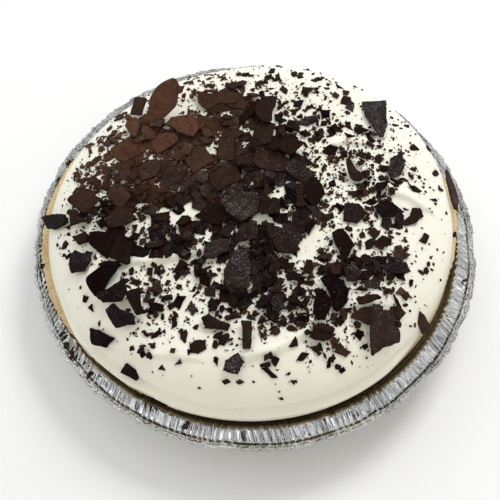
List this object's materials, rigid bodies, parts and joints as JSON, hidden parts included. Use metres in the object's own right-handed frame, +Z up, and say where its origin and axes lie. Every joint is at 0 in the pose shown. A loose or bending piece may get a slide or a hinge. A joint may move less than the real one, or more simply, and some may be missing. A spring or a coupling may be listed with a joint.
{
  "type": "chocolate cream pie",
  "caption": "Uncut chocolate cream pie in a crimped foil tin: pastry rim, domed whipped cream and a heap of dark chocolate shards and flakes.",
  "frame": {"origin": "middle of the tin's flat base, on the surface that the pie stands on", "axes": "+Z up, +X to the right and +Y away from the side that faces the viewer"},
  "size_m": [0.2444, 0.2444, 0.0737],
  "materials": {
    "foil": "thin pleated aluminium foil, silver with a soft shine",
    "pastry": "pale baked pastry, matte and a little rough",
    "cream": "whipped cream, warm white with a soft satin sheen",
    "chocolate": "dark chocolate, near black to dark brown, dull with pale bloom specks"
  },
  "bodies": {
    "root": {"foil_tin": "foil", "crust": "pastry", "cream": "cream", "shard_01": "chocolate", "shard_02": "chocolate", "shard_03": "chocolate", "shard_04": "chocolate", "shard_05": "chocolate", "shard_06": "chocolate", "shard_07": "chocolate", "shard_08": "chocolate", "shard_09": "chocolate", "shard_10": "chocolate", "shard_11": "chocolate", "shard_12": "chocolate", "shard_13": "chocolate", "shard_14": "chocolate", "shard_15": "chocolate", "shard_16": "chocolate", "shard_17": "chocolate", "shard_18": "chocolate", "shard_19": "chocolate", "shard_20": "chocolate", "shard_21": "chocolate", "shard_22": "chocolate", "shard_23": "chocolate", "shard_24": "chocolate", "shard_25": "chocolate", "shard_26": "chocolate", "shard_27": "chocolate", "shard_28": "chocolate", "shard_29": "chocolate", "shard_30": "chocolate", "shard_31": "chocolate", "shard_32": "chocolate", "shard_33": "chocolate", "shard_34": "chocolate", "shard_35": "chocolate", "shard_36": "chocolate", "shard_37": "chocolate", "shard_38": "chocolate", "shard_39": "chocolate", "shard_40": "chocolate", "shard_41": "chocolate", "shard_42": "chocolate", "shard_43": "chocolate", "shard_44": "chocolate", "shard_45": "chocolate", "shard_46": "chocolate", "shard_47": "chocolate", "shard_48": "chocolate", "shard_49": "chocolate", "shard_50": "chocolate", "shard_51": "chocolate", "shard_52": "chocolate", "shard_53": "chocolate", "shard_54": "chocolate", "shard_55": "chocolate", "shard_56": "chocolate", "shard_57": "chocolate"}
  },
  "joints": []
}
